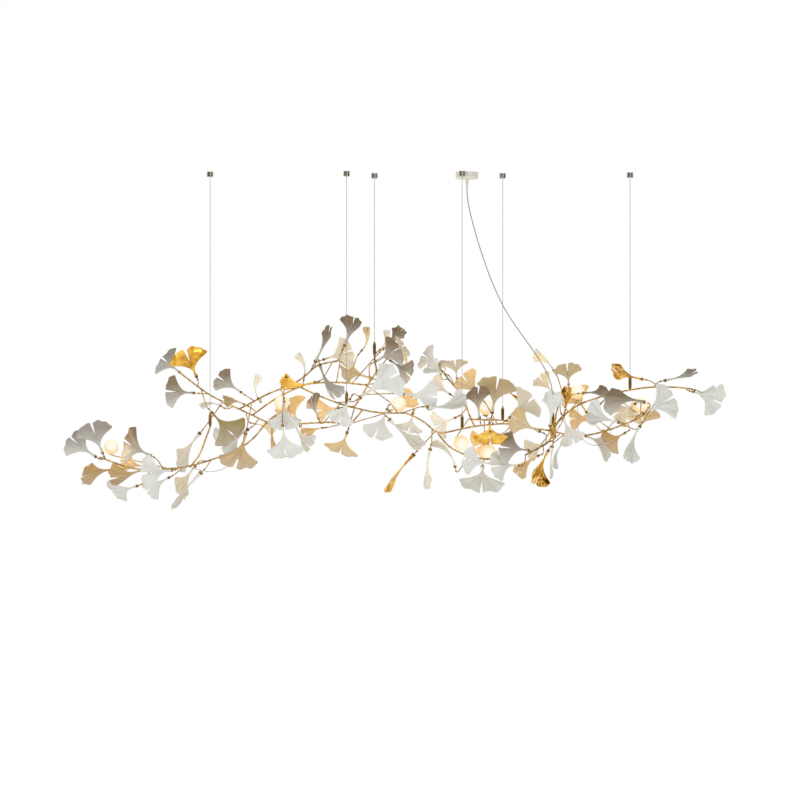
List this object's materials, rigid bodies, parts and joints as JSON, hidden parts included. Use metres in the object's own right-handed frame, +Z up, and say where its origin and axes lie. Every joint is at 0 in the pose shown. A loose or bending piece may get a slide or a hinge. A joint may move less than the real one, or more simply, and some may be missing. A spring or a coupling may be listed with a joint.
{
  "type": "ceramic leaf chandelier",
  "caption": "Long branch chandelier of porcelain fan leaves on brazed brass twigs with opal globe lamps, hung from the ceiling on thin steel cables beside a slack power cord.",
  "frame": {"origin": "on the ceiling plane, at the centre of the power rose", "axes": "+Z up, +X along the branch to the viewer's right, -Y towards the viewer"},
  "size_m": [1.9752, 0.3394, 1.0124],
  "materials": {
    "porcelain": "satin bisque glaze",
    "gilded_porcelain": "mirror gold lustre over glaze",
    "brass": "patinated, brazed",
    "steel_cable": "stranded stainless steel",
    "nickel": "nickel plated",
    "opal_glass": "opal glass",
    "cord_jacket": "pale grey jacket",
    "pale_plastic": "moulded",
    "steel_plate": "pressed",
    "white_enamel": "white enamel"
  },
  "bodies": {
    "ceiling": {"rose_plate": "steel_plate", "rose_cover": "white_enamel", "rose_terminal_block": "pale_plastic", "rose_cord_grip": "pale_plastic", "ceiling_cups": "nickel", "power_cord": "cord_jacket"},
    "frame": {"cable_grippers": "nickel", "centre_back_branch": "brass", "centre_branch": "brass", "centre_leaves": "porcelain", "centre_left_leaves": "porcelain", "centre_low_branch": "brass", "centre_top_branch": "brass", "cord_gland": "brass", "crown_branch": "brass", "crown_leaves": "porcelain", "knot_hub": "brass", "knot_leaves": "porcelain", "lampholders": "brass", "left_arm_branch": "brass", "left_arm_leaves": "porcelain", "left_feed_wire": "cord_jacket", "left_gilded_leaves": "gilded_porcelain", "left_riser": "brass", "left_tip_leaves": "porcelain", "left_top_branch": "brass", "mid_back_branch": "brass", "mid_bridge": "brass", "mid_front_branch": "brass", "mid_left_leaves": "porcelain", "mid_low_branch": "brass", "right_arm_branch": "brass", "right_feed_wire": "cord_jacket", "right_gilded_leaves": "gilded_porcelain", "right_riser": "brass", "right_spur": "brass", "right_tip_leaves": "porcelain", "right_top_branch": "brass"},
    "cable_1": {"cable_1": "steel_cable"},
    "cable_2": {"cable_2": "steel_cable"},
    "cable_3": {"cable_3": "steel_cable"},
    "cable_4": {"cable_4": "steel_cable"},
    "cable_5": {"cable_5": "steel_cable"},
    "cable_6": {"cable_6": "steel_cable"},
    "gripper_plunger_1": {"gripper_plunger_1": "nickel"},
    "gripper_plunger_2": {"gripper_plunger_2": "nickel"},
    "gripper_plunger_3": {"gripper_plunger_3": "nickel"},
    "gripper_plunger_4": {"gripper_plunger_4": "nickel"},
    "gripper_plunger_5": {"gripper_plunger_5": "nickel"},
    "gripper_plunger_6": {"gripper_plunger_6": "nickel"},
    "globe_lamp_1": {"globe_lamp_1": "opal_glass"},
    "globe_lamp_2": {"globe_lamp_2": "opal_glass"},
    "globe_lamp_3": {"globe_lamp_3": "opal_glass"},
    "globe_lamp_4": {"globe_lamp_4": "opal_glass"},
    "globe_lamp_5": {"globe_lamp_5": "opal_glass"},
    "globe_lamp_6": {"globe_lamp_6": "opal_glass"},
    "globe_lamp_7": {"globe_lamp_7": "opal_glass"},
    "globe_lamp_8": {"globe_lamp_8": "opal_glass"},
    "globe_lamp_9": {"globe_lamp_9": "opal_glass"}
  },
  "joints": [
    {"name": "sway", "type": "slide", "parent": "ceiling", "child": "frame", "axis": [1, 0, 0], "range_m": [-0.025, 0.025], "stiffness_N_per_m": 110, "deforming": ["power_cord"]},
    {"name": "cable_1_swing", "type": "hinge", "parent": "ceiling", "child": "cable_1", "pos_m": [-0.77, -0.012, -0.0107], "axis": [0, -1, 0], "range_deg": [-2.1, 2.1]},
    {"name": "cable_2_swing", "type": "hinge", "parent": "ceiling", "child": "cable_2", "pos_m": [-0.36055, -0.039, -0.0107], "axis": [0, -1, 0], "range_deg": [-2.3, 2.3]},
    {"name": "cable_3_swing", "type": "hinge", "parent": "ceiling", "child": "cable_3", "pos_m": [-0.278, 0.062, -0.0107], "axis": [0, -1, 0], "range_deg": [-2.9, 2.9]},
    {"name": "cable_4_swing", "type": "hinge", "parent": "ceiling", "child": "cable_4", "pos_m": [-0.01543, -0.045, -0.0107], "axis": [0, -1, 0], "range_deg": [-2.1, 2.1]},
    {"name": "cable_5_swing", "type": "hinge", "parent": "ceiling", "child": "cable_5", "pos_m": [0.1089, 0.06603, -0.0107], "axis": [0, -1, 0], "range_deg": [-2.1, 2.1]},
    {"name": "cable_6_swing", "type": "hinge", "parent": "ceiling", "child": "cable_6", "pos_m": [0.49093, 0.02935, -0.0107], "axis": [0, -1, 0], "range_deg": [-2.4, 2.4]},
    {"name": "plunger_1_press", "type": "slide", "parent": "frame", "child": "gripper_plunger_1", "axis": [0, 0, -1], "range_m": [0, 0.002], "stiffness_N_per_m": 400},
    {"name": "plunger_2_press", "type": "slide", "parent": "frame", "child": "gripper_plunger_2", "axis": [0, 0, -1], "range_m": [0, 0.002], "stiffness_N_per_m": 400},
    {"name": "plunger_3_press", "type": "slide", "parent": "frame", "child": "gripper_plunger_3", "axis": [0, 0, -1], "range_m": [0, 0.002], "stiffness_N_per_m": 400},
    {"name": "plunger_4_press", "type": "slide", "parent": "frame", "child": "gripper_plunger_4", "axis": [0, 0, -1], "range_m": [0, 0.002], "stiffness_N_per_m": 400},
    {"name": "plunger_5_press", "type": "slide", "parent": "frame", "child": "gripper_plunger_5", "axis": [0, 0, -1], "range_m": [0, 0.002], "stiffness_N_per_m": 400},
    {"name": "plunger_6_press", "type": "slide", "parent": "frame", "child": "gripper_plunger_6", "axis": [0, 0, -1], "range_m": [0, 0.002], "stiffness_N_per_m": 400},
    {"name": "lamp_1_screw", "type": "hinge", "parent": "frame", "child": "globe_lamp_1", "pos_m": [-1.068, 0.01, -0.825], "axis": [0.0999, -0.9488, 0.2996], "range_deg": [0, 1080]},
    {"name": "lamp_2_screw", "type": "hinge", "parent": "frame", "child": "globe_lamp_2", "pos_m": [-0.375, 0.02, -0.54], "axis": [0.101, -0.9091, 0.4041], "range_deg": [0, 1080]},
    {"name": "lamp_3_screw", "type": "hinge", "parent": "frame", "child": "globe_lamp_3", "pos_m": [-0.556, -0.002, -0.693], "axis": [0, -0.9785, 0.206], "range_deg": [0, 1080]},
    {"name": "lamp_4_screw", "type": "hinge", "parent": "frame", "child": "globe_lamp_4", "pos_m": [-0.204, -0.005, -0.696], "axis": [-0.1013, -0.9621, 0.2532], "range_deg": [0, 1080]},
    {"name": "lamp_5_screw", "type": "hinge", "parent": "frame", "child": "globe_lamp_5", "pos_m": [-0.018, -0.015, -0.812], "axis": [0.1527, -0.9671, -0.2036], "range_deg": [0, 1080]},
    {"name": "lamp_6_screw", "type": "hinge", "parent": "frame", "child": "globe_lamp_6", "pos_m": [0.057, 0.015, -0.706], "axis": [0, -0.9346, 0.3556], "range_deg": [0, 1080]},
    {"name": "lamp_7_screw", "type": "hinge", "parent": "frame", "child": "globe_lamp_7", "pos_m": [0.063, -0.02, -0.838], "axis": [0.1011, -0.9299, -0.3538], "range_deg": [0, 1080]},
    {"name": "lamp_8_screw", "type": "hinge", "parent": "frame", "child": "globe_lamp_8", "pos_m": [0.519, -0.005, -0.7], "axis": [0.1013, -0.9621, 0.2532], "range_deg": [0, 1080]},
    {"name": "lamp_9_screw", "type": "hinge", "parent": "frame", "child": "globe_lamp_9", "pos_m": [0.333, 0.03, -0.66], "axis": [0, -0.9138, 0.4061], "range_deg": [0, 1080]}
  ],
  "couplings": [
    {"joint": "cable_1_swing", "follows": "sway", "rad_per_m": 1.3514},
    {"joint": "cable_2_swing", "follows": "sway", "rad_per_m": 1.4791},
    {"joint": "cable_3_swing", "follows": "sway", "rad_per_m": 1.8975},
    {"joint": "cable_4_swing", "follows": "sway", "rad_per_m": 1.3418},
    {"joint": "cable_5_swing", "follows": "sway", "rad_per_m": 1.3878},
    {"joint": "cable_6_swing", "follows": "sway", "rad_per_m": 1.59}
  ]
}
